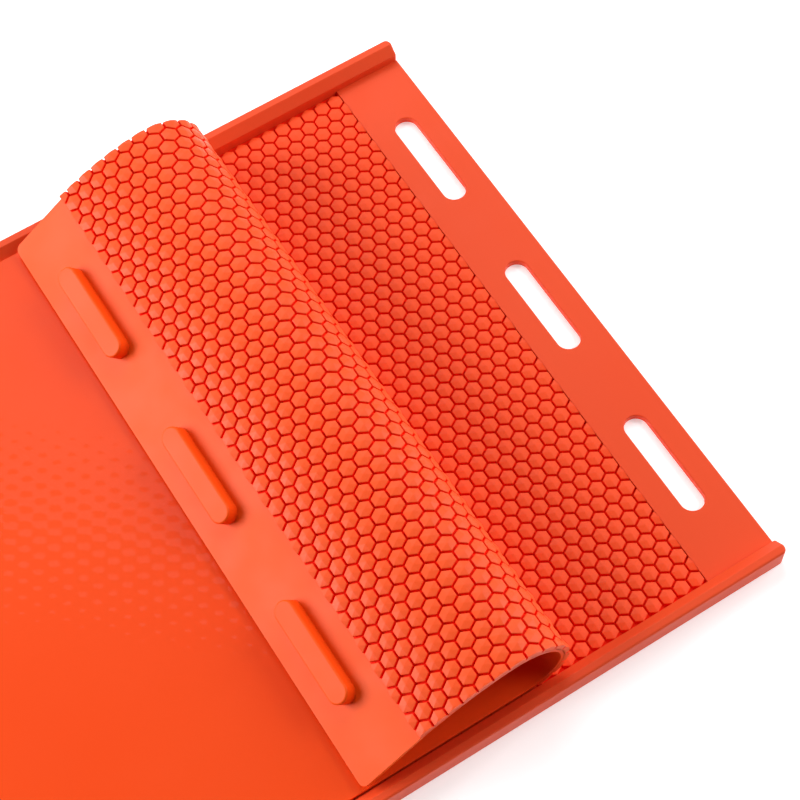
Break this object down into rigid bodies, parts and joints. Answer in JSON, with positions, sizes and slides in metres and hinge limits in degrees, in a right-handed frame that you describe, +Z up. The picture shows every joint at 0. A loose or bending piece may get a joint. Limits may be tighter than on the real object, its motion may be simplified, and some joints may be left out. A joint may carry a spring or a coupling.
{
  "type": "tire traction mats",
  "caption": "Rimmed rubber tray mat with hexagonal lugs and end slots, and a cover mat lying in it lug face down, its pegged end curled back over itself.",
  "frame": {"origin": "on the ground under the middle of the base mat", "axes": "+X along the mats towards the slotted end, +Y across them, +Z up"},
  "size_m": [0.597, 0.3032, 0.0489],
  "materials": {
    "base_rubber": "satin moulded silicone-like rubber",
    "cover_rubber": "satin moulded silicone-like rubber"
  },
  "bodies": {
    "base_mat": {"base_floor": "base_rubber", "base_lug_field": "base_rubber", "base_rim_left": "base_rubber", "base_rim_right": "base_rubber", "base_flange_slotted": "base_rubber", "base_flange_plain": "base_rubber"},
    "cover_flat": {"cover_web": "cover_rubber", "cover_flange_plain": "cover_rubber"},
    "cover_bend_01": {"cover_strip_01": "cover_rubber"},
    "cover_bend_02": {"cover_strip_02": "cover_rubber"},
    "cover_bend_03": {"cover_strip_03": "cover_rubber"},
    "cover_bend_04": {"cover_strip_04": "cover_rubber"},
    "cover_bend_05": {"cover_strip_05": "cover_rubber"},
    "cover_bend_06": {"cover_strip_06": "cover_rubber"},
    "cover_bend_07": {"cover_strip_07": "cover_rubber"},
    "cover_bend_08": {"cover_strip_08": "cover_rubber"},
    "cover_tip": {"cover_flange_pegged": "cover_rubber", "cover_peg_1": "cover_rubber", "cover_peg_2": "cover_rubber", "cover_peg_3": "cover_rubber"}
  },
  "joints": [
    {"name": "draw_back", "type": "slide", "parent": "base_mat", "child": "cover_flat", "axis": [1, 0, 0], "range_m": [-0.014, 0]},
    {"name": "unroll_01", "type": "hinge", "parent": "cover_flat", "child": "cover_bend_01", "pos_m": [0.1792, 0, 0.0086], "axis": [0, 1, 0], "range_deg": [0, 21.06]},
    {"name": "unroll_02", "type": "hinge", "parent": "cover_bend_01", "child": "cover_bend_02", "pos_m": [0.18853, 0, 0.01219], "axis": [0, 1, 0], "range_deg": [0, 42.11]},
    {"name": "unroll_03", "type": "hinge", "parent": "cover_bend_02", "child": "cover_bend_03", "pos_m": [0.19305, 0, 0.02111], "axis": [0, 1, 0], "range_deg": [0, 33.94]},
    {"name": "unroll_04", "type": "hinge", "parent": "cover_bend_03", "child": "cover_bend_04", "pos_m": [0.19188, 0, 0.03054], "axis": [0, 1, 0], "range_deg": [0, 25.76]},
    {"name": "unroll_05", "type": "hinge", "parent": "cover_bend_04", "child": "cover_bend_05", "pos_m": [0.18673, 0, 0.03852], "axis": [0, 1, 0], "range_deg": [0, 25.76]},
    {"name": "unroll_06", "type": "hinge", "parent": "cover_bend_05", "child": "cover_bend_06", "pos_m": [0.17862, 0, 0.04348], "axis": [0, 1, 0], "range_deg": [0, 25.76]},
    {"name": "unroll_07", "type": "hinge", "parent": "cover_bend_06", "child": "cover_bend_07", "pos_m": [0.16917, 0, 0.04442], "axis": [0, 1, 0], "range_deg": [0, 19.93]},
    {"name": "unroll_08", "type": "hinge", "parent": "cover_bend_07", "child": "cover_bend_08", "pos_m": [0.14843, 0, 0.03915], "axis": [0, 1, 0], "range_deg": [0, 14.11]},
    {"name": "unroll_09", "type": "hinge", "parent": "cover_bend_08", "child": "cover_tip", "pos_m": [0.12959, 0, 0.02899], "axis": [0, 1, 0], "range_deg": [0, 7.06]}
  ],
  "couplings": [
    {"joint": "unroll_01", "follows": "draw_back", "rad_per_m": -26.242},
    {"joint": "unroll_02", "follows": "draw_back", "rad_per_m": -52.485},
    {"joint": "unroll_03", "follows": "draw_back", "rad_per_m": -42.293},
    {"joint": "unroll_04", "follows": "draw_back", "rad_per_m": -32.102},
    {"joint": "unroll_05", "follows": "draw_back", "rad_per_m": -32.102},
    {"joint": "unroll_06", "follows": "draw_back", "rad_per_m": -32.102},
    {"joint": "unroll_07", "follows": "draw_back", "rad_per_m": -24.84},
    {"joint": "unroll_08", "follows": "draw_back", "rad_per_m": -17.578},
    {"joint": "unroll_09", "follows": "draw_back", "rad_per_m": -8.789}
  ]
}
